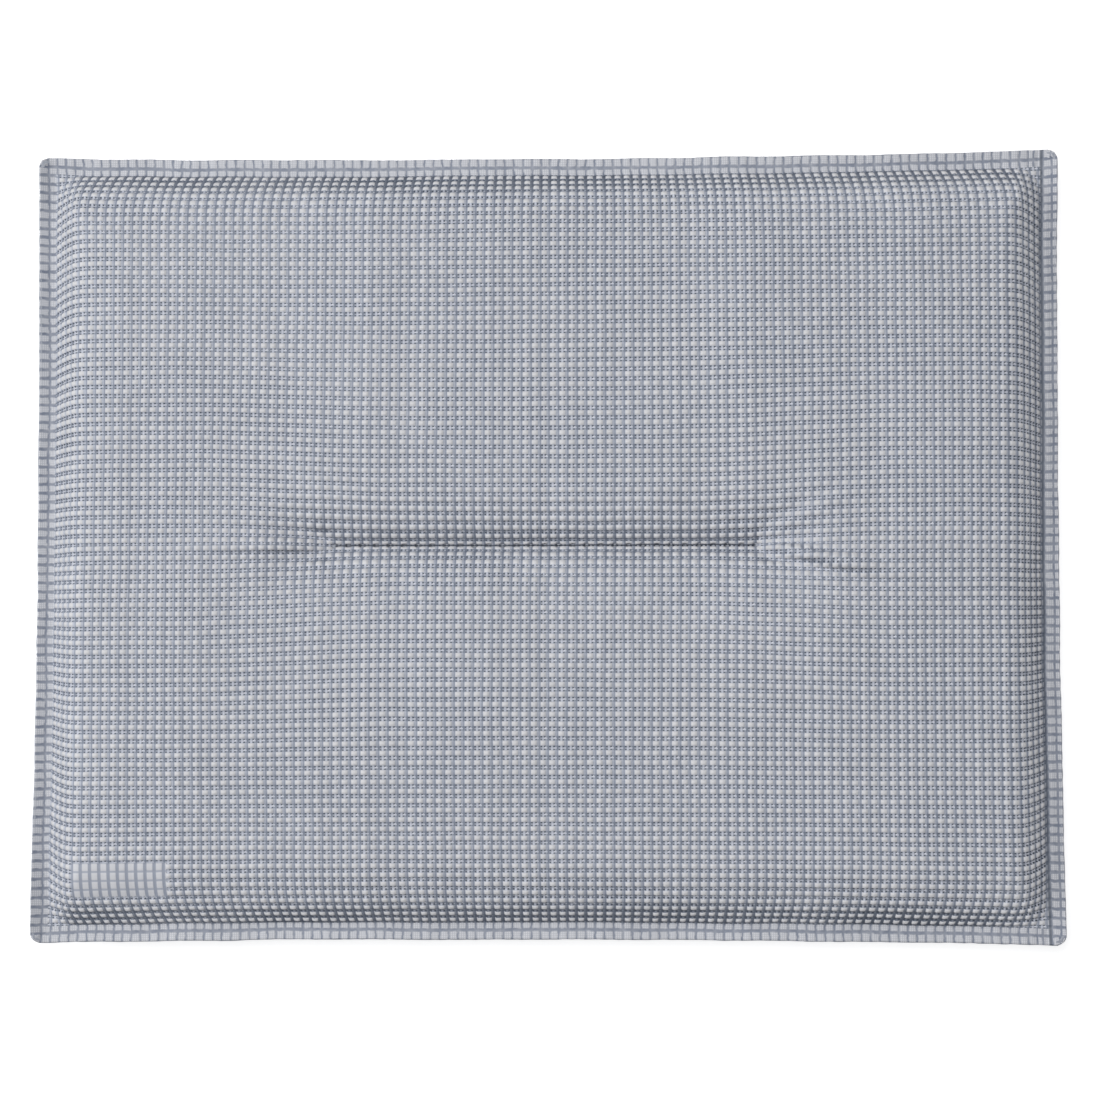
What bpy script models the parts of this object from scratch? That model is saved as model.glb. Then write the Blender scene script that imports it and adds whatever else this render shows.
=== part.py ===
"""A flat outdoor kneeling pad: two panels of coated mesh welded round a foam slab, with one sewn row
in the middle that pulls a groove into both faces.

Metres, +Z up, +X along the long side. The origin is at the middle of the face that the pad lies on.
"""

from math import cos, pi, radians, sin, sqrt, tan

import bmesh
import bpy
from mathutils import Vector

# Overall size
PAD_WIDTH = 0.380
PAD_DEPTH = 0.293
PAD_HEIGHT = 0.030
CORNER_RADIUS = 0.005
SIDE_PULL_IN = 0.0015

# Cloth and the fused seam between the two flanges
CLOTH = 0.0008
GAP = 0.0003
WELD_HEIGHT = 0.0003
FLANGE_WIDTH = 0.0068

# Side of the pad: a straight slope and then a round shoulder up to the flat face
SIDE_SLOPE = radians(50)
SHOULDER_RADIUS = 0.024
SHOULDER_STEPS = 5
RADIUS_GROWTH = 0.6

# Sewn row and the groove that it pulls into each face
STITCHES = 30
STITCH_LENGTH = 0.0052
GROOVE_DEPTH = 0.0085
GROOVE_HALF_WIDTH = 0.019
GROOVE_FLOOR = 0.0016
GROOVE_STEPS = 5
SLOT_ROUNDNESS = 0.7

# Thread, and the hole that the needle leaves
THREAD_RADIUS = 0.00025
LOOP_HALF_WIDTH = 0.00038
HOLE_RADIUS = 0.00105
HOLE_SIDES = 6

# Points along the outline
CORNER_STEPS = 4
LONG_SIDE_POINTS = 5
SHORT_SIDE_POINTS = 3

MIDDLE = PAD_HEIGHT / 2
SEAM_HALF_LENGTH = STITCHES * STITCH_LENGTH / 2
FLANGE_UNDERSIDE = WELD_HEIGHT / 2 + GAP
FLANGE_TOP = FLANGE_UNDERSIDE + CLOTH


def clear_scene():
    for item in list(bpy.data.objects):
        bpy.data.objects.remove(item, do_unlink=True)


def material(name, colour, roughness, metallic=0.0):
    made = bpy.data.materials.new(name)
    made.use_nodes = True
    shader = made.node_tree.nodes["Principled BSDF"]
    shader.inputs["Base Color"].default_value = (*colour, 1.0)
    shader.inputs["Roughness"].default_value = roughness
    shader.inputs["Metallic"].default_value = metallic
    made.diffuse_color = (*colour, 1.0)
    return made


def side_points(start, end, count, pull_in):
    """Points between two corners of the outline, on a shallow curve that bows towards the middle."""
    inwards = Vector((-(end - start).y, (end - start).x)).normalized()
    found = []
    for step in range(1, count + 1):
        share = step / (count + 1)
        bow = pull_in * (1 - (2 * share - 1) ** 2)
        found.append(start.lerp(end, share) + inwards * bow)
    return found


def outline(half_x, half_y, radius, pull_in=0.0):
    """A rectangle with round corners, anticlockwise, always with the same number of points."""
    arcs = []
    for turn, (side_x, side_y) in enumerate(((1, 1), (-1, 1), (-1, -1), (1, -1))):
        centre = Vector((side_x * (half_x - radius), side_y * (half_y - radius)))
        angles = [pi / 2 * (turn + step / CORNER_STEPS) for step in range(CORNER_STEPS + 1)]
        arcs.append([centre + radius * Vector((cos(a), sin(a))) for a in angles])
    points = []
    for turn, arc in enumerate(arcs):
        count = LONG_SIDE_POINTS if turn % 2 == 0 else SHORT_SIDE_POINTS
        points += arc
        points += side_points(arc[-1], arcs[(turn + 1) % 4][0], count, pull_in)
    return points


def edge_ring(inset, height):
    """A ring that follows the pad's edge, inset from it, at a height above the middle."""
    radius = CORNER_RADIUS + RADIUS_GROWTH * inset
    plan = outline(PAD_WIDTH / 2 - inset, PAD_DEPTH / 2 - inset, radius, SIDE_PULL_IN)
    return [Vector((p.x, p.y, height)) for p in plan]


def groove_ring(half_width, height):
    """A slot-shaped ring round the sewn row, at a height above the middle."""
    plan = outline(SEAM_HALF_LENGTH + half_width, half_width, SLOT_ROUNDNESS * half_width)
    return [Vector((p.x, p.y, height)) for p in plan]


def shoulder(skin):
    """(inset, height) pairs up the side of a surface that lies skin under the pad's outer surface."""
    radius = SHOULDER_RADIUS - skin
    top = MIDDLE - skin
    run = SHOULDER_RADIUS * sin(SIDE_SLOPE)
    rise = SHOULDER_RADIUS * (1 - cos(SIDE_SLOPE))
    plateau = FLANGE_WIDTH + (MIDDLE - FLANGE_TOP - rise) / tan(SIDE_SLOPE) + run
    pairs = []
    for step in range(SHOULDER_STEPS + 1):
        angle = SIDE_SLOPE * (1 - step / SHOULDER_STEPS)
        pairs.append((plateau - radius * sin(angle), top - radius * (1 - cos(angle))))
    return pairs


def slope_foot(skin, height):
    """Inset at which the straight slope of that surface reaches a height above the middle."""
    inset, top = shoulder(skin)[0]
    return inset - (top - height) / tan(SIDE_SLOPE)


def groove(skin):
    """(half width, height) pairs down into the groove of the surface that lies skin under the outer one.

    The wall is a parabola, level at the rim and steepest beside the narrow flat floor.
    """
    span = GROOVE_HALF_WIDTH - GROOVE_FLOOR
    pairs = []
    for step in range(GROOVE_STEPS + 1):
        share = step / GROOVE_STEPS
        depth = GROOVE_DEPTH * share**2
        steepness = 2 * GROOVE_DEPTH / span * share
        drop = skin * sqrt(1 + steepness**2) if step < GROOVE_STEPS else skin
        pairs.append((GROOVE_HALF_WIDTH - span * share, MIDDLE - drop - depth))
    return pairs


def face_rings(skin):
    """The rings of one face, from the foot of the shoulder in to the sewn row."""
    rings = [edge_ring(inset, height) for inset, height in shoulder(skin)]
    rings += [groove_ring(half_width, height) for half_width, height in groove(skin)]
    return rings


def flipped(rings):
    """The same rings on the pad's other face."""
    return [[Vector((p.x, p.y, -p.z)) for p in ring] for ring in rings]


def solid(name, rings, look, closed=False):
    """Joins the rings in order into one closed body, which stands on the ground when it is done.

    Unless closed, the first and last rings are filled. If closed, the last ring joins the first.
    """
    mesh = bmesh.new()
    loops = [[mesh.verts.new((p.x, p.y, p.z + MIDDLE)) for p in ring] for ring in rings]
    following = loops[1:] + (loops[:1] if closed else [])
    for low, high in zip(loops, following):
        for i in range(len(low)):
            j = (i + 1) % len(low)
            mesh.faces.new((low[i], low[j], high[j], high[i]))
    if not closed:
        mesh.faces.new(loops[0])
        mesh.faces.new(loops[-1])
    bmesh.ops.recalc_face_normals(mesh, faces=mesh.faces)
    data = bpy.data.meshes.new(name)
    mesh.to_mesh(data)
    mesh.free()
    data.materials.append(look)
    data.shade_smooth()
    data.set_sharp_from_angle(angle=radians(35))
    made = bpy.data.objects.new(name, data)
    bpy.context.collection.objects.link(made)
    return made


def cover_rings():
    """One panel: its outer surface from the sewn row out to the flange, then its inner surface back."""
    outside = [edge_ring(0, FLANGE_TOP), edge_ring(slope_foot(0, FLANGE_TOP), FLANGE_TOP)]
    outside += face_rings(0)
    inner_foot = slope_foot(CLOTH, FLANGE_UNDERSIDE)
    inside = [edge_ring(0, FLANGE_UNDERSIDE), edge_ring(inner_foot, FLANGE_UNDERSIDE)]
    inside += face_rings(CLOTH)
    return outside[::-1] + inside


def foam_rings():
    """The slab: the lower face from its sewn row out, round the rim, and the upper face back in."""
    skin = CLOTH + GAP
    rim = [edge_ring(slope_foot(skin, FLANGE_UNDERSIDE), FLANGE_UNDERSIDE)]
    upper = rim + face_rings(skin)
    return flipped(upper)[::-1] + upper


def weld_rings():
    """The fused ring that lies between the flanges, a square section taken round the edge."""
    half = WELD_HEIGHT / 2
    inner = FLANGE_WIDTH - GAP
    corners = ((0, -half), (inner, -half), (inner, half), (0, half))
    return [edge_ring(inset, height) for inset, height in corners]


def needle_places():
    """X of each place where the needle went through."""
    return [STITCH_LENGTH * step - SEAM_HALF_LENGTH for step in range(STITCHES + 1)]


def hole_cutter():
    """A row of upright prisms, one for each needle hole, which only cuts and is not a part."""
    mesh = bmesh.new()
    for x in needle_places():
        rims = []
        for height in (-PAD_HEIGHT, 2 * PAD_HEIGHT):
            angles = [2 * pi * side / HOLE_SIDES for side in range(HOLE_SIDES)]
            places = [(x + HOLE_RADIUS * cos(a), HOLE_RADIUS * sin(a), height) for a in angles]
            rims.append([mesh.verts.new(place) for place in places])
        for i in range(HOLE_SIDES):
            j = (i + 1) % HOLE_SIDES
            mesh.faces.new((rims[0][i], rims[0][j], rims[1][j], rims[1][i]))
        mesh.faces.new(rims[0][::-1])
        mesh.faces.new(rims[1])
    data = bpy.data.meshes.new("needle_hole_cutter")
    mesh.to_mesh(data)
    mesh.free()
    made = bpy.data.objects.new("needle_hole_cutter", data)
    bpy.context.collection.objects.link(made)
    made.hide_render = True
    made.display_type = "WIRE"
    return made


def cut_holes(item, cutter):
    cut = item.modifiers.new("needle_holes", "BOOLEAN")
    cut.operation = "DIFFERENCE"
    cut.solver = "EXACT"
    cut.object = cutter


def thread_points(side):
    """The path of one thread: a run over the face, then a loop down each hole nearly to the middle.

    side is 1 for the upper thread and -1 for the lower one.
    """
    run = MIDDLE - GROOVE_DEPTH + GAP + THREAD_RADIUS
    shoulder_drop = run - THREAD_RADIUS
    turn = GAP + THREAD_RADIUS
    bend = LOOP_HALF_WIDTH + THREAD_RADIUS
    loop = (
        (-bend, run),
        (-LOOP_HALF_WIDTH, shoulder_drop),
        (-LOOP_HALF_WIDTH * 0.8, turn),
        (LOOP_HALF_WIDTH * 0.8, turn),
        (LOOP_HALF_WIDTH, shoulder_drop),
        (bend, run),
    )
    points = [(x + across, side * height) for x in needle_places() for across, height in loop]
    return points[3:-3]


def thread(name, side, look):
    points = thread_points(side)
    data = bpy.data.curves.new(name, "CURVE")
    data.dimensions = "3D"
    data.bevel_depth = THREAD_RADIUS
    data.bevel_resolution = 1
    data.use_fill_caps = True
    spline = data.splines.new("POLY")
    spline.points.add(len(points) - 1)
    for point, (x, height) in zip(spline.points, points):
        point.co = (x, 0.0, MIDDLE + height, 1.0)
    spline.use_smooth = True
    data.materials.append(look)
    made = bpy.data.objects.new(name, data)
    bpy.context.collection.objects.link(made)


def main():
    clear_scene()
    mesh_cloth = material("coated_mesh_cloth", (0.40, 0.43, 0.49), 0.55)
    foam = material("open_cell_foam", (0.62, 0.63, 0.62), 0.95)
    fused = material("fused_cloth_coating", (0.25, 0.28, 0.33), 0.4)
    sewing = material("sewing_thread", (0.36, 0.38, 0.42), 0.6)

    cutter = hole_cutter()
    top = cover_rings()
    for name, rings, look in (
        ("top_cover", top, mesh_cloth),
        ("bottom_cover", flipped(top), mesh_cloth),
        ("foam_core", foam_rings(), foam),
    ):
        cut_holes(solid(name, rings, look), cutter)
    solid("edge_weld", weld_rings(), fused, closed=True)
    thread("needle_thread", 1, sewing)
    thread("bobbin_thread", -1, sewing)


main()
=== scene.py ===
"""Looks of the kneeling pad: two woven panels welded at the edge, foam inside, one sewn row.

Each panel is laid out in a flat grid of weave cells. It is shaped over the foam, relaxed as cloth, and
then gets its weave as real relief with several points for each cell. Everything is in metres.
"""

import math

import bpy
import numpy as np
from mathutils import Matrix, Vector


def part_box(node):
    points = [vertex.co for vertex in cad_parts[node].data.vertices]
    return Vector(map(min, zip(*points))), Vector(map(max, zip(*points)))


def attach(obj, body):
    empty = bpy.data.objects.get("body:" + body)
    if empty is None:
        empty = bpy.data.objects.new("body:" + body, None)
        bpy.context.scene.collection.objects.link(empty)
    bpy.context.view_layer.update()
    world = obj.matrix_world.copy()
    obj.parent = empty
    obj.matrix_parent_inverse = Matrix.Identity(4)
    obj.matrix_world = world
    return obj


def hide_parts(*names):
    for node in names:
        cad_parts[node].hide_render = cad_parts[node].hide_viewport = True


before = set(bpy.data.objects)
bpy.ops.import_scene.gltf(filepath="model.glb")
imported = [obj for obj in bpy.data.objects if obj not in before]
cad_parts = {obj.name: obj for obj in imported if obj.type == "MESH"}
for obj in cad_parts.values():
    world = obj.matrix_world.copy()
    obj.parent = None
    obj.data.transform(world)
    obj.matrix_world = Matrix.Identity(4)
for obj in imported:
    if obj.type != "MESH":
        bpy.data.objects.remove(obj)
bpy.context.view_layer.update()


def rgb(red, green, blue):
    """A linear colour from sRGB values of 0 to 255."""
    values = [c / 255 for c in (red, green, blue)]
    return (*[c / 12.92 if c <= 0.04045 else ((c + 0.055) / 1.055) ** 2.4 for c in values], 1.0)


# Places and sizes that the CAD model fixes
HALF_X, HALF_Y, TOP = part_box("top_cover")[1]
WELD_LOW, WELD_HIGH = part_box("edge_weld")
MIDDLE = (WELD_LOW.z + WELD_HIGH.z) / 2
SEAM_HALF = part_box("needle_thread")[1].x - 0.0001

# Weave, counted in cells: one cell is one raised float and the crossing beside it
CELL = 0.00345
COLUMNS = 113
ROWS = 88
FLAT_X = COLUMNS * CELL
FLAT_Y = ROWS * CELL
RELIEF = 0.00100
FLOAT_HALF_U = 0.325
FLOAT_HALF_V = 0.260
HOLE_U = 0.225
HOLE_W = 0.150
TOP_STEPS = 7
BOTTOM_STEPS = 5

# Side of the pad, along the cloth from its cut edge
FLANGE = 0.0061
FLANGE_LIFT = 0.0006
CURL_WIDTH = 0.0072
END_CURL = 0.0024
LONG_CURL = 0.0008
SLOPE = math.radians(49)
END_STRAIGHT, END_SHOULDER = 0.0112, 0.0085
LONG_STRAIGHT, LONG_SHOULDER = 0.0085, 0.0190
CLOTH_THICK = 0.0009
CORNER_CELLS = 1.3
CORNER_POWER = 2.8
FOAM_SWELL = 0.0016

# Crown and waves of the faces, and how far the sides pull in between the corners
CROWN = 0.0010
FACE_WAVE = 0.00040
END_PULL = 0.0012
LONG_PULL = 0.0018
FLANGE_WAVE = 0.0003
CUT_WAVE = 0.00012

# Sewn row
STITCHES = 30
GROOVE_DEPTH = 0.0085
GROOVE_REACH = 0.019
GROOVE_ROUND = 0.0012
GROOVE_GATHER = 0.0022
THREAD_RADIUS = 0.00019
TWIST_PITCH = 0.0022
NEEDLE_RADIUS = 0.00055
NEEDLE_DEPTH = 0.0018
THREAD_DIP = 0.0016

# Make of the panels, the foam and the fused edge
CELL_VARIETY = 0.10
STITCH_PRESS = 0.5
CUT_UNEVEN = 0.00035
LINING_INSET = 0.0010
RIM_GAP = 0.00012
GROUND_GAP = 0.0001
FOAM_GAP = 0.0005
FOAM_GRAIN = 0.00012
FOAM_EDGE_CELLS = 3
WELD_HALF = 0.00009
PATCH = (6.1, 16.4, 6.1, 10.0)

# Flat layout for texture: the woven face above a strip for the lining
SHEET_LEFT, SHEET_FRONT, SHEET_WIDE = 0.015, 0.220, 0.97
LINING_FRONT, LINING_HIGH = 0.01, 0.18
RIM_OUT_U, RIM_OUT_V = 1.012, 1.014

# Cloth simulation
SOFT_HOLD = 0.10
PIN_STIFFNESS = 1.0
PRESSURE = 3.5
CLOTH_FRAMES = 14

# Light and camera
WORLD_STRENGTH = 0.18
FLOOR_GLOW = 0.76
FLOOR_DARK, FLOOR_LIGHT = 0.42, 0.44
OVERHEAD_PLACE, OVERHEAD_SIZE, OVERHEAD_POWER = (-0.20, 0.29, 1.9), 0.9, 25
KEY_PLACE, KEY_SIZE, KEY_POWER = (-1.6, 0.28, 0.9), 0.8, 12
LENS = 100.0
CAMERA_DISTANCE = 1.1316
CAMERA_TARGET = Vector((0.0019, -0.0015, MIDDLE))
LEAN_RIGHT, LEAN_FRONT = math.radians(2.48), math.radians(3.98)

# Colours
FLOAT = rgb(208, 208, 211)
# Painted light and shade: one warp yarn colour, lit on the band's left half and shaded on its right half, in
# the open and in the crossing rows.
LIT_WARP = rgb(182, 187, 199)
SHADED_WARP = rgb(140, 147, 162)
CROSSING = rgb(140, 147, 161)
SHADED_CROSSING = rgb(122, 130, 145)
STRAND = rgb(190, 194, 205)
SLANTED = rgb(206, 208, 216)
# Painted shade: the dark inside of the pinholes.
HOLE_SHADE = rgb(44, 51, 64)
# Painted shade for the yarns where the cloth tilts, on the slopes and the groove's walls.
TILT_SHADE = rgb(80, 89, 104)
PRESSED_SQUARE = rgb(203, 204, 209)
PRESSED_LINE = rgb(112, 120, 137)
PRESSED_MESH = rgb(126, 133, 148)
PATCH_ROW = rgb(166, 171, 183)
PATCH_COLUMN = rgb(150, 156, 170)
# Painted shade: the dark inside of the needle holes.
NEEDLE_HOLE_SHADE = rgb(30, 34, 42)
LINING = rgb(150, 155, 166)
THREAD_COLOUR = rgb(72, 79, 92)
FOAM_COLOUR = rgb(205, 206, 204)
COATING_COLOUR = rgb(172, 177, 188)


def smooth(x, low, high):
    """A smooth step from 0 at low to 1 at high; low may be above high."""
    t = np.clip((x - low) / (high - low), 0.0, 1.0)
    return t * t * (3 - 2 * t)


def bump(x, width):
    """A bell curve: 1 at 0, and fading to 0 past width on either side."""
    return np.exp(-((x / width) ** 2))


def waves(x, y, wavelength, seed, count=6):
    """A smooth random field of about -1 to 1: a sum of plane waves of about that wavelength."""
    random = np.random.default_rng(seed)
    total = np.zeros(np.broadcast(x, y).shape)
    for _ in range(count):
        angle = random.uniform(0, math.pi)
        phase = random.uniform(0, math.tau)
        scale = random.uniform(0.7, 1.4)
        k = math.tau / (wavelength * scale)
        total += np.cos(k * (math.cos(angle) * x + math.sin(angle) * y) + phase)
    return total / math.sqrt(count)


# ---------------------------------------------------------------- shape of a panel


def side_curve(straight, shoulder):
    """Along the cloth from its cut edge: length, inset from the edge, and the share of the full height."""
    length = np.linspace(0, 0.045, 901)
    foot = FLANGE + straight
    bends = [FLANGE - 0.0005, FLANGE + 0.0005, foot, foot + shoulder]
    angle = np.interp(length, bends, [0, SLOPE, SLOPE, 0])
    step = length[1]
    middle = (angle[1:] + angle[:-1]) / 2
    inset = np.concatenate([[0], np.cumsum(np.cos(middle)) * step])
    height = np.concatenate([[0], np.cumsum(np.sin(middle)) * step])
    return length, inset, height / height[-1]


def along(s, flat_half, half, straight, shoulder):
    """For flat places s on a cloth of half width flat_half: signed place and share of the full height."""
    length, inset, share = side_curve(straight, shoulder)
    from_edge = flat_half - np.abs(s)
    inwards = np.interp(from_edge, length, inset) + np.maximum(from_edge - length[-1], 0)
    return np.sign(s) * (half - inwards), np.interp(from_edge, length, share)


def groove_depth(x, y):
    """How far the sewn row pulls the face in. It runs on a little past the row's two ends."""
    past = np.maximum(np.abs(x) - SEAM_HALF, 0)
    reach = np.sqrt((past / 1.9) ** 2 + y**2 + GROOVE_ROUND**2) - GROOVE_ROUND
    return GROOVE_DEPTH * np.clip(1 - reach / GROOVE_REACH, 0, 1) ** 2


def fold(x, y, start, degrees, length, height, width):
    """A ridge, or with a negative height a furrow, that leaves a point at an angle and fades out."""
    c, s = math.cos(math.radians(degrees)), math.sin(math.radians(degrees))
    ahead = (x - start[0]) * c + (y - start[1]) * s
    aside = -(x - start[0]) * s + (y - start[1]) * c
    share = np.clip(ahead / length, 0, 1)
    return height * np.sin(math.pi * share**0.5) * bump(aside, width * (0.7 + 0.6 * share))


def end_folds(x, y):
    """Folds at the ends of the sewn row: one straight ridge on the left, a V of ridges on the right."""
    left, right = -SEAM_HALF - 0.001, SEAM_HALF + 0.001
    z = fold(x, y, (left, 0.0), 181, 0.056, 0.0018, 0.0028)
    z += fold(x, y, (left, 0.0042), 177, 0.056, -0.0007, 0.0032)
    z += fold(x, y, (left, -0.0042), 182, 0.085, -0.0006, 0.0034)
    z += fold(x, y, (left, 0.0), 148, 0.075, -0.0008, 0.0070)
    z += fold(x, y, (left, 0.0), 212, 0.075, -0.0008, 0.0070)
    z += fold(x, y, (right, 0.0020), 27, 0.062, 0.0007, 0.0034)
    z += fold(x, y, (right, 0.0064), 27, 0.062, -0.0005, 0.0036)
    z += fold(x, y, (right, 0.0), -12, 0.060, 0.0023, 0.0030)
    z += fold(x, y, (right, -0.0042), -12.5, 0.085, -0.0010, 0.0030)
    z += fold(x, y, (right, -0.0020), -38, 0.055, -0.0004, 0.0060)
    return z


def rim_height(x, y):
    """Height of the middle of the flange, which waves a little and curls up towards its cut edge."""
    out_x = np.clip((np.abs(x) - HALF_X + CURL_WIDTH) / CURL_WIDTH, 0, 1)
    out_y = np.clip((np.abs(y) - HALF_Y + CURL_WIDTH) / CURL_WIDTH, 0, 1)
    return MIDDLE + FLANGE_WAVE * waves(x, y, 0.060, 11) + END_CURL * out_x**2 + LONG_CURL * out_y**2


def panel_shape(u, v, side):
    """The panel's middle surface for cell coordinates u, v; side is 1 for the top panel, -1 for the lower."""
    s, t = (u - COLUMNS / 2) * CELL, (v - ROWS / 2) * CELL
    x, high_x = along(s, FLAT_X / 2, HALF_X, END_STRAIGHT, END_SHOULDER)
    y, high_y = along(t, FLAT_Y / 2, HALF_Y, LONG_STRAIGHT, LONG_SHOULDER)
    low_x, low_y = 1 - high_x, 1 - high_y
    # On the flange the cloth lies flat, so its cells are spread evenly from corner to corner.
    x += (s * 2 * HALF_X / FLAT_X - x) * low_y**1.5
    y += (t * 2 * HALF_Y / FLAT_Y - y) * low_x**1.5
    share = np.clip(1 - (low_x**CORNER_POWER + low_y**CORNER_POWER) ** (1 / CORNER_POWER), 0, 1)
    rim = (1 - share) ** 3
    # The groove takes up cloth, so the rows beside it stand closer together in plan.
    gap = np.clip(np.abs(y) / GROOVE_REACH, 0, 1)
    taken = GROOVE_GATHER * (1 - (1 - gap) ** 3)
    taken = taken * smooth(np.abs(x), SEAM_HALF + 0.055, SEAM_HALF - 0.025)
    y -= np.sign(y) * taken * smooth(np.abs(y), 0.110, GROOVE_REACH)

    full = TOP - RELIEF - MIDDLE - FLANGE_LIFT - FOAM_SWELL
    crown = CROWN * ((x / HALF_X) ** 2 + (y / HALF_Y) ** 2)
    z = share * (full - crown + FACE_WAVE * waves(x, y, 0.070, 3 + side) + end_folds(x, y))
    z -= groove_depth(x, y)

    # The sides pull in between the corners, and the flange waves a little.
    from_corner = 1 - np.clip(y / HALF_Y, -1, 1) ** 2
    x -= np.sign(x) * END_PULL * from_corner * smooth(np.abs(x), 0.5 * HALF_X, HALF_X)
    from_corner = 1 - np.abs(x / HALF_X) ** 2.5
    y -= np.sign(y) * LONG_PULL * from_corner * smooth(np.abs(y), 0.4 * HALF_Y, HALF_Y)
    x += rim * CUT_WAVE * waves(x, y, 0.030, 17)
    y += rim * CUT_WAVE * waves(x, y, 0.030, 19)
    z = rim_height(x, y) * rim + MIDDLE * (1 - rim) + side * (FLANGE_LIFT + z)
    return np.stack([x, y, z], axis=-1)


def rounded(u, v, place):
    """Draws the four corners of the cut edge in to a small radius."""
    cu, cv = COLUMNS / 2 - CORNER_CELLS, ROWS / 2 - CORNER_CELLS
    du, dv = np.abs(u - COLUMNS / 2) - cu, np.abs(v - ROWS / 2) - cv
    corner = (du > 0) & (dv > 0)
    du, dv = np.where(corner, du, 1e-9), np.where(corner, dv, 1e-9)
    pull = (1 - np.maximum(du, dv) / np.hypot(du, dv)) * corner * CELL
    out = place.copy()
    out[..., 0] -= np.sign(u - COLUMNS / 2) * du * pull
    out[..., 1] -= np.sign(v - ROWS / 2) * dv * pull
    return out


def outward(place, side):
    """Unit normals of a grid of points, pointing out of the pad."""
    n = np.cross(np.gradient(place, axis=1), np.gradient(place, axis=0))
    return side * n / np.linalg.norm(n, axis=-1, keepdims=True)


def cell_grid(steps):
    """Cell coordinates of a grid with steps points for each cell."""
    u, v = np.meshgrid(np.arange(COLUMNS * steps + 1) / steps, np.arange(ROWS * steps + 1) / steps)
    return u, v


# ---------------------------------------------------------------- cloth simulation


def grid_quads(rows, columns):
    """The quads of a grid of points."""
    i = (np.arange(rows - 1)[:, None] * columns + np.arange(columns - 1)[None, :]).ravel()
    return np.stack([i, i + 1, i + columns + 1, i + columns], axis=-1)


def mesh_object(name, points, quads, triangles=None):
    """A smooth-shaded mesh object from arrays of points, quads and triangles."""
    flat = quads.ravel()
    starts = np.arange(0, quads.size, 4)
    if triangles is not None:
        starts = np.concatenate([starts, quads.size + np.arange(0, triangles.size, 3)])
        flat = np.concatenate([flat, triangles.ravel()])
    data = bpy.data.meshes.new(name)
    data.vertices.add(len(points))
    data.vertices.foreach_set("co", np.asarray(points, np.float32).ravel())
    data.loops.add(len(flat))
    data.loops.foreach_set("vertex_index", flat.astype(np.int32))
    data.polygons.add(len(starts))
    data.polygons.foreach_set("loop_start", starts.astype(np.int32))
    data.update(calc_edges=True)
    data.validate()
    data.shade_smooth()
    made = bpy.data.objects.new(name, data)
    bpy.context.scene.collection.objects.link(made)
    return made


def relaxed_shift(side):
    """How far a cloth simulation moves the panel's points, one point for each weave crossing.

    The cloth's rest shape is its flat cut. The flange and the sewn row are held. Soft goals stand in for
    the foam, and pressure for the foam that swells out against the cloth.
    """
    u, v = cell_grid(1)
    start = panel_shape(u, v, side)
    cloth = mesh_object("cloth_draft", start.reshape(-1, 3), grid_quads(*u.shape))
    cloth.shape_key_add(name="Basis")
    flat = cloth.shape_key_add(name="flat")
    lay = np.stack([(u - COLUMNS / 2) * CELL, (v - ROWS / 2) * CELL, np.full_like(u, MIDDLE)], axis=-1)
    flat.data.foreach_set("co", lay.astype(np.float32).ravel())

    edge = np.minimum(np.minimum(u, COLUMNS - u), np.minimum(v, ROWS - v))
    on_seam = (np.abs(start[..., 1]) < 0.6 * CELL) & (np.abs(start[..., 0]) < SEAM_HALF + CELL)
    weight = np.where((edge <= 2) | on_seam, 1.0, SOFT_HOLD)
    group = cloth.vertex_groups.new(name="held")
    for value in (1.0, SOFT_HOLD):
        group.add(np.flatnonzero(weight.ravel() == value).tolist(), value, "REPLACE")

    modifier = cloth.modifiers.new("relax", "CLOTH")
    settings = modifier.settings
    settings.quality = 5
    settings.mass = 0.002
    settings.tension_stiffness = 20
    settings.compression_stiffness = 2
    settings.shear_stiffness = 1
    settings.bending_stiffness = 0.2
    settings.air_damping = 3
    settings.vertex_group_mass = "held"
    settings.pin_stiffness = PIN_STIFFNESS
    settings.rest_shape_key = flat
    settings.use_pressure = True
    settings.uniform_pressure_force = side * PRESSURE
    settings.effector_weights.gravity = 0
    modifier.collision_settings.use_collision = False
    modifier.point_cache.frame_start = 1
    modifier.point_cache.frame_end = CLOTH_FRAMES
    for number in range(1, CLOTH_FRAMES + 1):
        bpy.context.scene.frame_set(number)
    shaped = cloth.evaluated_get(bpy.context.evaluated_depsgraph_get()).to_mesh()
    moved = np.empty(len(shaped.vertices) * 3, np.float32)
    shaped.vertices.foreach_get("co", moved)
    data = cloth.data
    bpy.data.objects.remove(cloth)
    bpy.data.meshes.remove(data)
    bpy.context.scene.frame_set(1)
    shift = moved.reshape(start.shape).astype(float) - start
    return softened(softened(shift))


def softened(grid):
    """A grid averaged with its neighbours, leaving its outer points as they are."""
    inner = grid.copy()
    inner[1:-1] = (grid[:-2] + 2 * grid[1:-1] + grid[2:]) / 4
    out = inner.copy()
    out[:, 1:-1] = (inner[:, :-2] + 2 * inner[:, 1:-1] + inner[:, 2:]) / 4
    return out


def spread(coarse, steps):
    """A coarse grid's values at steps places for each cell, by Catmull-Rom interpolation."""

    def weights(count):
        place = np.arange((count - 1) * steps + 1) / steps
        cell = np.minimum(place.astype(int), count - 2)
        t = place - cell
        parts = (
            (-1, (-t + 2 * t**2 - t**3) / 2),
            (0, (2 - 5 * t**2 + 3 * t**3) / 2),
            (1, (t + 4 * t**2 - 3 * t**3) / 2),
            (2, (-(t**2) + t**3) / 2),
        )
        table = np.zeros((len(place), count))
        for offset, value in parts:
            np.add.at(table, (np.arange(len(place)), np.clip(cell + offset, 0, count - 1)), value)
        return table

    rows, columns = coarse.shape[:2]
    return np.einsum("ri,ijk,cj->rck", weights(rows), coarse, weights(columns), optimize=True)


# ---------------------------------------------------------------- woven panels


def welded_share(u, v):
    """1 on the flange, where the weld has pressed the weave flat."""
    edge = np.minimum(np.minimum(u, COLUMNS - u), np.minimum(v, ROWS - v))
    return 1 - smooth(edge, FLANGE / CELL - 0.08, FLANGE / CELL + 0.14)


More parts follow.
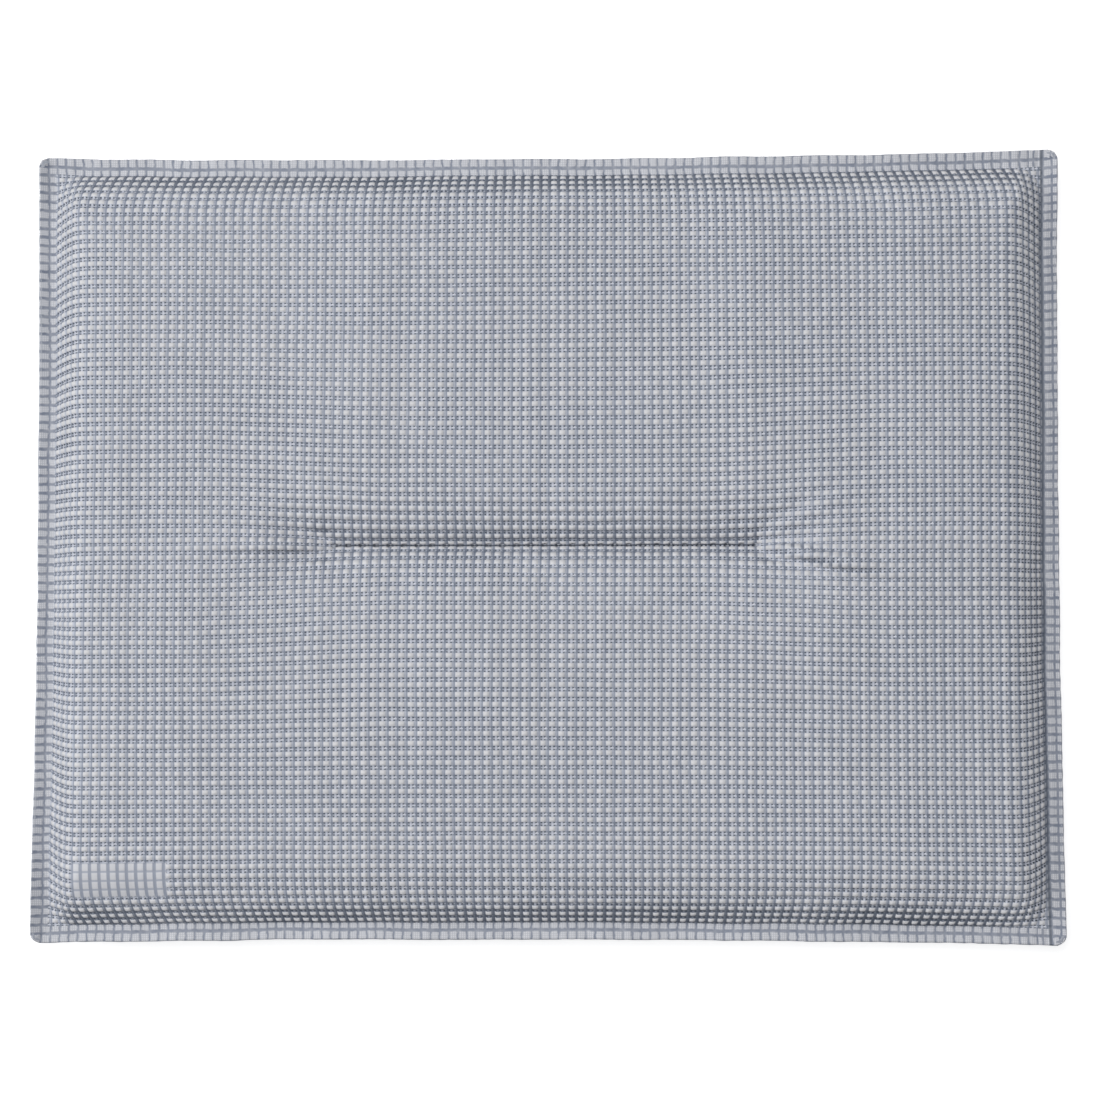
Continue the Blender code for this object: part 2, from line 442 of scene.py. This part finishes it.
def patch_share(u, v, patch):
    """1 on a blank patch that is pressed smooth; patch is its left, right, front and back."""
    if not patch:
        return np.zeros_like(u)
    left, right, front, back = patch
    inside = np.minimum(np.minimum(u - left, right - u), np.minimum(v - front, back - v))
    return smooth(inside, -0.06, 0.10)


def weave_relief(u, v):
    """Height of the weave, 0 to 1, for weave coordinates. A float's middle is at (0.5, 0.5).

    The numbers are shares of a cell and of the relief's height.
    """
    fu, fv = u % 1, v % 1
    across, upright = np.abs(fu - 0.5), np.abs(fv - 0.5)
    crossing = smooth(upright, 0.22, 0.32)
    pillow = (1 - np.clip(across / 0.36, 0, 1) ** 6) * (1 - np.clip(upright / 0.31, 0, 1) ** 5)
    light_warp = 0.46 * np.sqrt(np.clip(1 - ((fu - 0.90) / 0.11) ** 2, 0, 1))
    shaded_warp = 0.30 * np.sqrt(np.clip(1 - ((fu - 0.09) / 0.12) ** 2, 0, 1))
    strand = 0.42 * bump(across, 0.10) * crossing
    tie = 0.30 * bump(0.5 - upright, 0.07)
    hole = bump(across - HOLE_U, 0.09) * bump(0.5 - upright - HOLE_W, 0.07)
    ground = np.maximum.reduce([0.10 + 0.90 * pillow, light_warp, shaded_warp, strand, tie])
    return ground - 0.55 * hole * (1 - pillow)


def pressed_relief(u, v):
    """The flattened weave, 0 to 1: low squares with sunk lines between them."""
    across, upright = np.abs(u % 1 - 0.5), np.abs(v % 1 - 0.5)
    square = (1 - smooth(across, 0.32, 0.44)) * (1 - smooth(upright, 0.32, 0.44))
    return 0.06 + 0.14 * square


def needle_holes(place):
    """1 at the middle of each needle hole, 0 away from it."""
    pitch = 2 * SEAM_HALF / STITCHES
    x, y = place[..., 0], place[..., 1]
    nearest = np.clip(np.round((x + SEAM_HALF) / pitch), 0, STITCHES) * pitch - SEAM_HALF
    return bump(np.hypot((x - nearest) * 0.65, y), NEEDLE_RADIUS)


def ring_of(rows, columns):
    """Indices of a grid's outer points, in order round it."""
    front = np.arange(columns)
    right = np.arange(1, rows) * columns + columns - 1
    back = (rows - 1) * columns + np.arange(columns - 2, -1, -1)
    left = np.arange(rows - 2, 0, -1) * columns
    return np.concatenate([front, right, back, left])


def band(outer, inner):
    """Quads between two closed rings of the same number of points."""
    return np.stack([outer, inner, np.roll(inner, -1), np.roll(outer, -1)], axis=-1)


def fan_band(fine, coarse, steps):
    """Triangles between a fine ring and a coarse one that has one point for each steps fine points."""
    made = []
    half = steps // 2
    for i, near in enumerate(coarse):
        following = coarse[(i + 1) % len(coarse)]
        run = [fine[(i * steps + k) % len(fine)] for k in range(steps + 1)]
        made += [(run[k], near, run[k + 1]) for k in range(half)]
        made.append((run[half], near, following))
        made += [(run[k], following, run[k + 1]) for k in range(half, steps)]
    return np.array(made)


def cloth_surface(side, steps, shift):
    """The panel's middle surface at steps points for each cell, after the cloth simulation."""
    u, v = cell_grid(steps)
    place = panel_shape(u, v, side) + spread(shift, steps)
    return u, v, rounded(u, v, place)


def make_panel(name, side, steps, shift, patch=None):
    """A closed cloth: the woven outer face, the cut edge, and a plain lining close behind."""
    u, v, base = cloth_surface(side, steps, shift)
    out = outward(base, side)
    weave_u = u + 0.022 * waves(u, v, 9.0, 5) + 0.08 * waves(u, v, 70.0, 23)
    weave_v = v + 0.018 * waves(u, v, 7.0, 8) + 0.06 * waves(u, v, 60.0, 29)
    welded, smoothed = welded_share(u, v), patch_share(u, v, patch)
    pressed = np.maximum(welded, smoothed)
    random = np.random.default_rng(40 + side)
    swell = 1 + CELL_VARIETY * random.uniform(-1, 1, (ROWS + 2, COLUMNS + 2))
    swell = swell[np.clip(weave_v, 0, ROWS).astype(int), np.clip(weave_u, 0, COLUMNS).astype(int)]
    relief = (1 - pressed) * swell * weave_relief(weave_u, weave_v)
    relief += pressed * pressed_relief(weave_u, weave_v)
    holes = needle_holes(base)
    # The stitches press the weave down beside them.
    beside = bump(base[..., 1], 0.0022) * smooth(np.abs(base[..., 0]), SEAM_HALF + 0.003, SEAM_HALF)
    relief *= 1 - STITCH_PRESS * beside
    face = base + out * (RELIEF * relief - NEEDLE_DEPTH * holes)[..., None]
    ring = ring_of(*u.shape)
    # Cut yarn ends make the rim a little uneven.
    face.reshape(-1, 3)[ring, :2] *= 1 + random.normal(0, CUT_UNEVEN, (len(ring), 1))
    if side < 0:
        face[..., 2] = np.maximum(face[..., 2], GROUND_GAP)

    coarse = base[::steps, ::steps] - out[::steps, ::steps] * CLOTH_THICK
    joint = rim_height(coarse[..., 0], coarse[..., 1]) + side * RIM_GAP
    coarse[..., 2] = joint + side * np.maximum(side * (coarse[..., 2] - joint), 0)
    inner_ring = ring_of(*coarse.shape[:2])
    coarse.reshape(-1, 3)[inner_ring, :2] *= 1 - LINING_INSET / np.array([HALF_X, HALF_Y])
    rim = face.reshape(-1, 3)[ring].copy()
    rim[:, 2] = rim_height(rim[:, 0], rim[:, 1]) + side * RIM_GAP

    points = np.concatenate([face.reshape(-1, 3), rim, coarse.reshape(-1, 3)])
    rim_start = face.size // 3
    coarse_start = rim_start + len(ring)
    rim_ring = rim_start + np.arange(len(ring))
    quads = np.concatenate(
        [
            grid_quads(*u.shape),
            band(ring, rim_ring),
            coarse_start + grid_quads(*coarse.shape[:2])[:, ::-1],
        ]
    )
    triangles = fan_band(rim_ring, coarse_start + inner_ring, steps)
    if side < 0:
        quads, triangles = quads[:, ::-1], triangles[:, ::-1]
    made = mesh_object(name, points, quads, triangles)
    add_maps(made, (weave_u, weave_v), (u, v), ring, steps)
    lining = np.zeros(len(points))
    lining[coarse_start:] = 1
    add_values(made, "lining", lining)
    add_values(made, "welded", welded)
    add_values(made, "smoothed", smoothed)
    # How far the cloth tilts front or back and left or right, for painted shade on the slopes.
    add_values(made, "tilt", np.abs(out[..., 1]))
    add_values(made, "end_tilt_shade", np.abs(out[..., 0]))
    add_values(made, "holes", holes)
    in_row = smooth(np.abs(base[..., 0]), SEAM_HALF + 0.001, SEAM_HALF)
    add_values(made, "seam", bump(base[..., 1], 0.0013) * in_row)
    return made


def add_values(piece, name, values):
    """A number for each point; points past the end of values get 0."""
    padded = np.zeros(len(piece.data.vertices), np.float32)
    padded[: values.size] = values.ravel()
    piece.data.attributes.new(name, "FLOAT", "POINT").data.foreach_set("value", padded)


def add_maps(piece, weave, cells, ring, steps):
    """The weave coordinates and a flat layout for texture, for each point of a panel."""

    def all_points(grid):
        return np.concatenate([grid.ravel(), grid.ravel()[ring], grid[::steps, ::steps].ravel()])

    weave_u, weave_v = (all_points(grid) for grid in weave)
    scale = SHEET_WIDE / COLUMNS
    sheet_u, sheet_v = SHEET_LEFT + scale * cells[0], SHEET_FRONT + scale * cells[1]
    middle_u, middle_v = SHEET_LEFT + scale * COLUMNS / 2, SHEET_FRONT + scale * ROWS / 2
    rim_u = middle_u + (sheet_u.ravel()[ring] - middle_u) * RIM_OUT_U
    rim_v = middle_v + (sheet_v.ravel()[ring] - middle_v) * RIM_OUT_V
    back_u = sheet_u[::steps, ::steps].ravel()
    back_v = LINING_FRONT + LINING_HIGH * cells[1][::steps, ::steps].ravel() / ROWS
    layout_u = np.concatenate([sheet_u.ravel(), rim_u, back_u])
    layout_v = np.concatenate([sheet_v.ravel(), rim_v, back_v])
    corners = np.empty(len(piece.data.loops), np.int32)
    piece.data.loops.foreach_get("vertex_index", corners)
    for name, a, b in (("weave", weave_u, weave_v), ("OFBake", layout_u, layout_v)):
        layer = piece.data.uv_layers.new(name=name)
        places = np.stack([a[corners], b[corners]], axis=-1)
        layer.data.foreach_set("uv", places.astype(np.float32).ravel())


# ---------------------------------------------------------------- inside and edge


def make_foam(name, shifts):
    """The foam slab: it follows both panels from within and tapers to a thin rounded edge."""
    faces = []
    first = FOAM_EDGE_CELLS
    for side in (1, -1):
        u, v, base = cloth_surface(side, 1, shifts[side])
        inside = base - outward(base, side) * (CLOTH_THICK + FOAM_GAP)
        inside = inside[first:-first, first:-first]
        grain = FOAM_GRAIN * waves(inside[..., 0], inside[..., 1], 0.006, 31 + side)
        joint = rim_height(inside[..., 0], inside[..., 1])
        above = side * (inside[..., 2] - joint) - 0.0002 + grain
        inside[..., 2] = joint + side * np.maximum(above, 0.0003)
        faces.append(inside)
    rows, columns = faces[0].shape[:2]
    ring = ring_of(rows, columns)
    upper, lower = (f.reshape(-1, 3) for f in faces)
    side_ring = (upper[ring] + lower[ring]) / 2
    side_ring[:, :2] *= 1 + 0.0007 / np.array([HALF_X, HALF_Y])
    count, around = len(upper), np.arange(len(ring))
    quads = np.concatenate(
        [
            grid_quads(rows, columns),
            count + grid_quads(rows, columns)[:, ::-1],
            band(ring, 2 * count + around),
            band(2 * count + around, count + ring),
        ]
    )
    return mesh_object(name, np.concatenate([upper, lower, side_ring]), quads)


def make_fused_edge(name):
    """The melted coating that joins the two flanges, with an uneven bead along the cut edge."""
    u, v = cell_grid(2)
    outline = rounded(u, v, panel_shape(u, v, 1)).reshape(-1, 3)[ring_of(*u.shape), :2]
    count = len(outline)
    angle = np.arange(count) * math.tau / count
    uneven = 0.00007 * waves(1.9 * np.cos(angle), 1.9 * np.sin(angle), 0.05, 37)
    half = WELD_HALF
    # Outwards from the cut edge and up from the middle, for the section's points
    section = [(-FLANGE + 0.0003, half), (-0.0004, half), (0.0, 2.2 * half), (0.00016, 0.0)]
    section += [(a, -b) for a, b in section[2::-1]]
    rings = []
    for away, up in section:
        swell = uneven * (away > -0.001)
        grown = outline * (1 + (away + swell)[:, None] / np.array([HALF_X, HALF_Y]))
        rings.append(np.column_stack([grown, rim_height(grown[:, 0], grown[:, 1]) + up]))
    ids = [k * count + np.arange(count) for k in range(len(rings))]
    quads = np.concatenate([band(ids[k], ids[(k + 1) % len(ids)]) for k in range(len(ids))])
    return mesh_object(name, np.concatenate(rings), quads)


def seam_height(shifts, side):
    """Height of the cloth's surface in the sewn row."""
    base = cloth_surface(side, 1, shifts[side])[2]
    row = base[ROWS // 2, COLUMNS // 4 : -COLUMNS // 4]
    return row[:, 0], row[:, 2]


def make_stitching(name, side, shifts):
    """Twisted thread: a low arch for each stitch, and a dip into the needle hole between two of them."""
    pitch = 2 * SEAM_HALF / STITCHES
    per_stitch, around = 26, 12
    x = np.linspace(-SEAM_HALF, SEAM_HALF, STITCHES * per_stitch + 1)
    phase = (x + SEAM_HALF) / pitch
    to_hole = np.abs(phase - np.round(phase))
    places, heights = seam_height(shifts, side)
    lie = side * (np.interp(x, places, heights) - MIDDLE) + 0.36 * RELIEF + THREAD_RADIUS
    sunk = THREAD_DIP * (1 - smooth(to_hole, 0.0, 0.16))
    y = 0.00012 * waves(phase, phase * 0, 3.0, 43)
    line = np.column_stack([x, y, MIDDLE + side * (lie - sunk)])
    ahead = np.gradient(line, axis=0)
    ahead /= np.linalg.norm(ahead, axis=1, keepdims=True)
    level = np.cross([0.0, 0.0, 1.0], ahead)
    level /= np.linalg.norm(level, axis=1, keepdims=True)
    up = np.cross(ahead, level)
    turn = np.arange(around) * math.tau / around
    twist = math.tau * x[:, None] / TWIST_PITCH
    radius = THREAD_RADIUS * (1 + 0.20 * np.cos(2 * (turn[None, :] - twist)))[..., None]
    round_it = level[:, None] * np.cos(turn)[:, None] + up[:, None] * np.sin(turn)[:, None]
    tube = line[:, None] + radius * round_it
    ids = np.arange(len(x) * around).reshape(len(x), around)
    turned = np.roll(ids, -1, 1)
    quads = np.stack([ids[:-1], ids[1:], turned[1:], turned[:-1]], axis=-1).reshape(-1, 4)
    points = np.concatenate([tube.reshape(-1, 3), line[:1], line[-1:]])
    first, last = len(points) - 2, len(points) - 1
    start, end = ids[0], ids[-1]
    caps = [(first, start[k], start[(k + 1) % around]) for k in range(around)]
    caps += [(last, end[(k + 1) % around], end[k]) for k in range(around)]
    return mesh_object(name, points, quads[:, ::-1], np.array(caps)[:, ::-1])


# ---------------------------------------------------------------- materials


class Look:
    """A Principled material, with short calls that add nodes to it."""

    def __init__(self, name):
        self.material = bpy.data.materials.new(name)
        self.material.use_nodes = True
        self.tree = self.material.node_tree
        self.shader = self.tree.nodes["Principled BSDF"]

    def node(self, kind, **settings):
        made = self.tree.nodes.new(kind)
        for key, value in settings.items():
            setattr(made, key, value)
        return made

    def join(self, value, socket):
        if isinstance(value, bpy.types.NodeSocket):
            self.tree.links.new(value, socket)
        else:
            socket.default_value = value

    def math(self, operation, a, b=0.0):
        made = self.node("ShaderNodeMath", operation=operation)
        self.join(a, made.inputs[0])
        self.join(b, made.inputs[1])
        return made.outputs[0]

    def product(self, *values):
        total = values[0]
        for value in values[1:]:
            total = self.math("MULTIPLY", total, value)
        return total

    def ramp(self, value, low, high):
        """A smooth step from 0 at low to 1 at high."""
        made = self.node("ShaderNodeMapRange", interpolation_type="SMOOTHSTEP")
        self.join(value, made.inputs["Value"])
        made.inputs["From Min"].default_value = low
        made.inputs["From Max"].default_value = high
        return made.outputs["Result"]

    def between(self, value, low, high, soft):
        """1 between low and high, with soft steps at both."""
        rise = self.ramp(value, low - soft, low + soft)
        return self.math("MINIMUM", rise, self.ramp(value, high + soft, high - soft))

    def near(self, value, centre, half, soft):
        """1 within half of the centre, with soft steps at both ends."""
        return self.between(value, centre - half, centre + half, soft)

    def from_line(self, value, low, high):
        """A smooth step from 0 at whole numbers: it starts at low and reaches 1 at high."""
        return self.ramp(self.from_middle(value), 0.5 - low, 0.5 - high)

    def from_middle(self, value):
        """Distance from 0.5 of the value's fraction."""
        return self.math("ABSOLUTE", self.math("SUBTRACT", self.math("FRACT", value), 0.5))

    def mix(self, share, a, b):
        made = self.node("ShaderNodeMix", data_type="RGBA")
        for value, index in ((share, 0), (a, 6), (b, 7)):
            self.join(value, made.inputs[index])
        return made.outputs[2]

    def noise(self, vector, scale, detail=2.0):
        made = self.node("ShaderNodeTexNoise")
        self.join(vector, made.inputs["Vector"])
        made.inputs["Scale"].default_value = scale
        made.inputs["Detail"].default_value = detail
        return made.outputs["Fac"]

    def split(self, vector):
        made = self.node("ShaderNodeSeparateXYZ")
        self.join(vector, made.inputs[0])
        return made.outputs[0], made.outputs[1]

    def value(self, name):
        """A number stored on the mesh's points."""
        return self.node("ShaderNodeAttribute", attribute_name=name).outputs["Fac"]

    def bump(self, height, strength, distance):
        made = self.node("ShaderNodeBump")
        made.inputs["Strength"].default_value = strength
        made.inputs["Distance"].default_value = distance
        self.join(height, made.inputs["Height"])
        return made.outputs[0]

    def set(self, **values):
        for key, value in values.items():
            self.join(value, self.shader.inputs[key.replace("_", " ")])


def pinholes(look, across, from_crossing, wide, high):
    """1 in the pinholes. wide is their half width and softness; high starts with their place along v."""
    return look.product(look.near(across, HOLE_U, *wide), look.near(from_crossing, *high))


def woven_colour(look, u, v, chance, tilt):
    """Pale floats, and beside each a warp band painted lit on its left half and shaded on its right half, and
    pinholes round the crossings.

    Where the cloth tilts front or back, its yarns are painted darker as shade on the slopes and the groove's
    walls. The numbers are shares of a cell.
    """
    fu = look.math("FRACT", u)
    across = look.from_middle(u)
    upright = look.from_middle(v)
    w = look.math("SUBTRACT", look.math("FRACT", look.math("ADD", v, 0.5)), 0.5)
    from_crossing = look.math("SUBTRACT", 0.5, upright)
    crossing = look.ramp(upright, 0.23, 0.28)
    # Painted shade: the right half of each warp band, next to the following float. It also lies lower in the
    # relief.
    shaded_warp = look.math("MAXIMUM", look.ramp(fu, 0.20, 0.14), look.ramp(fu, 0.97, 1.0))
    strand = look.product(look.ramp(across, 0.14, 0.06), crossing)
    tie = look.product(look.ramp(from_crossing, 0.085, 0.03), look.ramp(fu, 0.05, 0.75))
    hole = pinholes(look, across, from_crossing, (0.078, 0.025), (HOLE_W, 0.050, 0.022))
    beside = pinholes(look, across, from_crossing, (0.090, 0.040), (0.12, 0.12, 0.04))
    hole = look.math("MAXIMUM", hole, look.product(beside, look.ramp(look.value("seam"), 0.3, 0.7)))
    # Painted shade: where the cloth tilts left or right, the dark pinholes are painted wider.
    wide = pinholes(look, across, from_crossing, (0.105, 0.030), (HOLE_W, 0.068, 0.025))
    hole = look.math("MAXIMUM", hole, look.product(wide, look.ramp(look.value("end_tilt_shade"), 0.25, 0.65)))
    side = look.math("SUBTRACT", fu, 0.745)
    lift = look.math("SUBTRACT", w, 0.045)
    length = look.math("ABSOLUTE", look.math("ADD", look.product(side, 0.82), look.product(lift, 0.57)))
    width = look.math("SUBTRACT", look.product(lift, 0.82), look.product(side, 0.57))
    width = look.math("ABSOLUTE", width)
    slanted = look.product(look.ramp(length, 0.20, 0.12), look.ramp(width, 0.065, 0.025))
    slanted = look.product(slanted, look.ramp(chance, 0.1, 0.7))
    on_float = look.ramp(across, FLOAT_HALF_U, FLOAT_HALF_U - 0.03)
    on_float = look.product(on_float, look.ramp(upright, FLOAT_HALF_V, FLOAT_HALF_V - 0.025))
    edge_line = look.product(look.near(fu, 0.78, 0.012, 0.02), 0.35)

    colour = look.mix(crossing, LIT_WARP, CROSSING)
    colour = look.mix(shaded_warp, colour, look.mix(crossing, SHADED_WARP, SHADED_CROSSING))
    colour = look.mix(look.math("MAXIMUM", strand, tie), colour, STRAND)
    # Painted shade: the pinholes, and the wider ones beside the seam and on the end slopes, are painted near
    # black.
    colour = look.mix(hole, colour, HOLE_SHADE)
    colour = look.mix(slanted, colour, SLANTED)
    # Painted shade where the cloth tilts front or back.
    colour = look.mix(look.ramp(tilt, 0.45, 0.80), colour, TILT_SHADE)
    return look.mix(on_float, colour, look.mix(edge_line, FLOAT, LIT_WARP)), on_float


def at_cut_edge(look, place, count):
    """1 close to the cut edge, where a line along it would be a drawn outline."""
    from_centre = look.math("ABSOLUTE", look.math("SUBTRACT", place, count / 2))
    return look.ramp(from_centre, count / 2 - 0.42, count / 2 - 0.30)


def pressed_colour(look, cells, u, v):
    """The weave under the weld: pale squares, uneven slate lines, and a fine mesh over both."""
    wander = look.product(look.math("SUBTRACT", look.noise(cells, 1.7), 0.5), 0.30)
    # On the right the cut runs through the middle of a column.
    shift = look.product(look.ramp(u, COLUMNS - 3.0, COLUMNS - 2.8), 0.45)
    in_u = look.from_line(look.math("ADD", look.math("ADD", u, shift), wander), 0.05, 0.19)
    in_v = look.from_line(look.math("SUBTRACT", v, wander), 0.09, 0.25)
    in_u = look.math("MAXIMUM", in_u, at_cut_edge(look, u, COLUMNS))
    in_v = look.math("MAXIMUM", in_v, at_cut_edge(look, v, ROWS))
    dark = look.math("ADD", 0.40, look.product(look.noise(cells, 0.9), 0.95))
    line = look.math("SUBTRACT", 1.0, look.product(in_u, in_v))
    square = look.math("SUBTRACT", 1.0, look.product(line, dark))
    fine_u = look.from_middle(look.product(u, 5.0))
    fine_v = look.from_middle(look.product(v, 5.0))
    upright_mesh = look.ramp(fine_u, 0.24, 0.42)
    mesh = look.math("MAXIMUM", upright_mesh, look.product(look.ramp(fine_v, 0.26, 0.42), 0.8))
    colour = look.mix(square, PRESSED_LINE, PRESSED_SQUARE)
    colour = look.mix(look.product(mesh, 0.50), colour, PRESSED_MESH)
    # The last warp yarn before the right slope stands on edge and is dark.
    # Painted shade: a dark band at the foot of the right slope, where the last warp yarn before it stands
    # steep.
    foot = look.near(u, COLUMNS - 1.62, 0.15, 0.08)
    foot = look.product(foot, look.math("ADD", 0.55, look.product(dark, 0.45)))
    return look.mix(foot, colour, TILT_SHADE)


def patch_colour(look, u, v):
    """The weave pressed smooth: pale blocks, slate between the columns and paler between the rows."""
    colour = look.mix(look.from_line(v, 0.09, 0.14), PATCH_ROW, PRESSED_SQUARE)
    return look.mix(look.from_line(u, 0.16, 0.21), PATCH_COLUMN, colour)


def scaled(look, colour, factor):
    """A colour times a number."""
    made = look.node("ShaderNodeVectorMath", operation="SCALE")
    look.join(colour, made.inputs[0])
    look.join(factor, made.inputs["Scale"])
    return made.outputs[0]


def weave_look():
    """The coated mesh: woven, pressed on the flange and the patch, with painted shade in the needle holes,
    plain behind.
    """
    look = Look("coated_mesh")
    cells = look.node("ShaderNodeUVMap", uv_map="weave").outputs["UV"]
    u, v = look.split(cells)
    whole = look.node("ShaderNodeVectorMath", operation="FLOOR")
    look.join(cells, whole.inputs[0])
    each = look.node("ShaderNodeTexWhiteNoise", noise_dimensions="2D")
    look.join(whole.outputs[0], each.inputs["Vector"])
    column = look.node("ShaderNodeTexWhiteNoise", noise_dimensions="1D")
    look.join(look.math("FLOOR", look.math("ADD", u, 0.4)), column.inputs["W"])

    woven, on_float = woven_colour(look, u, v, each.outputs["Value"], look.value("tilt"))
    colour = look.mix(look.value("welded"), woven, pressed_colour(look, cells, u, v))
    colour = look.mix(look.value("smoothed"), colour, patch_colour(look, u, v))
    # Painted shade in the needle holes.
    colour = look.mix(look.ramp(look.value("holes"), 0.25, 0.8), colour, NEEDLE_HOLE_SHADE)
    colour = look.mix(look.value("lining"), colour, LINING)
    shade = look.math("ADD", 0.91, look.product(each.outputs["Value"], 0.05))
    shade = look.math("ADD", shade, look.product(column.outputs["Value"], 0.07))
    patchy = look.math("SUBTRACT", look.noise(cells, 0.05, 3.0), 0.5)
    shade = look.math("ADD", shade, look.product(patchy, 0.08))

    yarn = look.math("SINE", look.product(v, math.tau * 8))
    grain = look.noise(cells, 12.0, 2.0)
    height = look.math("ADD", look.product(yarn, on_float, 0.4), grain)
    roughness = look.math("ADD", 0.40, look.product(grain, 0.14))
    look.set(Base_Color=scaled(look, colour, shade), Roughness=roughness, IOR=1.47)
    look.set(Normal=look.bump(height, 0.30, 0.0001))
    return look.material


def plain_look(name, colour, roughness, grain_scale, depth):
    """One material colour with fine mottling and grain."""
    look = Look(name)
    place = look.node("ShaderNodeTexCoord").outputs["Object"]
    grain = look.noise(place, grain_scale, 4.0)
    dark = (*[c * 0.80 for c in colour[:3]], 1.0)
    look.set(Base_Color=look.mix(grain, dark, colour), Normal=look.bump(grain, 0.5, depth))
    look.set(Roughness=look.math("ADD", roughness - 0.08, look.product(grain, 0.16)))
    return look.material


# ---------------------------------------------------------------- stage


def light(name, place, size, power):
    """A square white lamp that points at the middle of the floor."""
    data = bpy.data.lights.new(name, "AREA")
    data.shape = "SQUARE"
    data.size = size
    data.energy = power
    made = bpy.data.objects.new(name, data)
    made.location = place
    made.rotation_euler = (-Vector(place)).to_track_quat("-Z", "Y").to_euler()
    bpy.context.scene.collection.objects.link(made)


def build_stage():
    scene = bpy.context.scene
    scene.view_settings.view_transform = "Standard"
    world = bpy.data.worlds.new("studio")
    scene.world = world
    world.use_nodes = True
    background = world.node_tree.nodes["Background"]
    background.inputs["Color"].default_value = (0.97, 0.98, 1.0, 1.0)
    background.inputs["Strength"].default_value = WORLD_STRENGTH
    light("overhead", OVERHEAD_PLACE, OVERHEAD_SIZE, OVERHEAD_POWER)
    light("left_key", KEY_PLACE, KEY_SIZE, KEY_POWER)

    bpy.ops.mesh.primitive_plane_add(size=6.0, location=(0, 0, -0.0004))
    floor = bpy.context.object
    floor.name = "floor"
    look = Look("floor_white")
    mottle = look.noise(look.node("ShaderNodeTexCoord").outputs["Object"], 3.0)
    dark, pale = (FLOOR_DARK,) * 3 + (1.0,), (FLOOR_LIGHT,) * 3 + (1.0,)
    look.set(Base_Color=look.mix(mottle, dark, pale), Roughness=0.9)
    look.set(Emission_Color=(1.0, 1.0, 1.0, 1.0), Emission_Strength=FLOOR_GLOW)
    floor.data.materials.append(look.material)


def build_camera():
    """Almost straight above the pad, leaning a little to its front and its right."""
    flat = math.cos(LEAN_RIGHT)
    back = Vector((math.sin(LEAN_RIGHT), -math.sin(LEAN_FRONT) * flat, flat * math.cos(LEAN_FRONT)))
    right = Vector((0, 1, 0)).cross(back).normalized()
    data = bpy.data.cameras.new("camera")
    data.lens, data.sensor_width = LENS, 36.0
    data.clip_start, data.clip_end = 0.05, 20.0
    made = bpy.data.objects.new("camera", data)
    bpy.context.scene.collection.objects.link(made)
    made.location = CAMERA_TARGET + back * CAMERA_DISTANCE
    made.rotation_euler = Matrix((right, back.cross(right), back)).transposed().to_euler()
    bpy.context.scene.camera = made


# ---------------------------------------------------------------- assembly

build_camera()
build_stage()
shifts = {1: relaxed_shift(1), -1: relaxed_shift(-1)}
upper = make_panel("upper_mesh_panel", 1, TOP_STEPS, shifts[1], PATCH)
lower = make_panel("lower_mesh_panel", -1, BOTTOM_STEPS, shifts[-1])
foam = make_foam("foam_slab", shifts)
edge = make_fused_edge("fused_edge")
upper_thread = make_stitching("upper_stitching", 1, shifts)
lower_thread = make_stitching("lower_stitching", -1, shifts)

cloth_look = weave_look()
thread_look = plain_look("sewing_thread", THREAD_COLOUR, 0.55, 3000.0, 0.0001)
foam_look = plain_look("foam", FOAM_COLOUR, 0.9, 900.0, 0.0004)
coating_look = plain_look("coating", COATING_COLOUR, 0.45, 700.0, 0.0001)
for piece, node, look, slot in (
    (upper, "top_cover", cloth_look, "mesh_cloth"),
    (lower, "bottom_cover", cloth_look, "mesh_cloth"),
    (foam, "foam_core", foam_look, "foam"),
    (edge, "edge_weld", coating_look, "fused_edge"),
    (upper_thread, "needle_thread", thread_look, "thread"),
    (lower_thread, "bobbin_thread", thread_look, "thread"),
):
    piece.data.materials.append(look)
    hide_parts(node)
    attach(piece, "root")
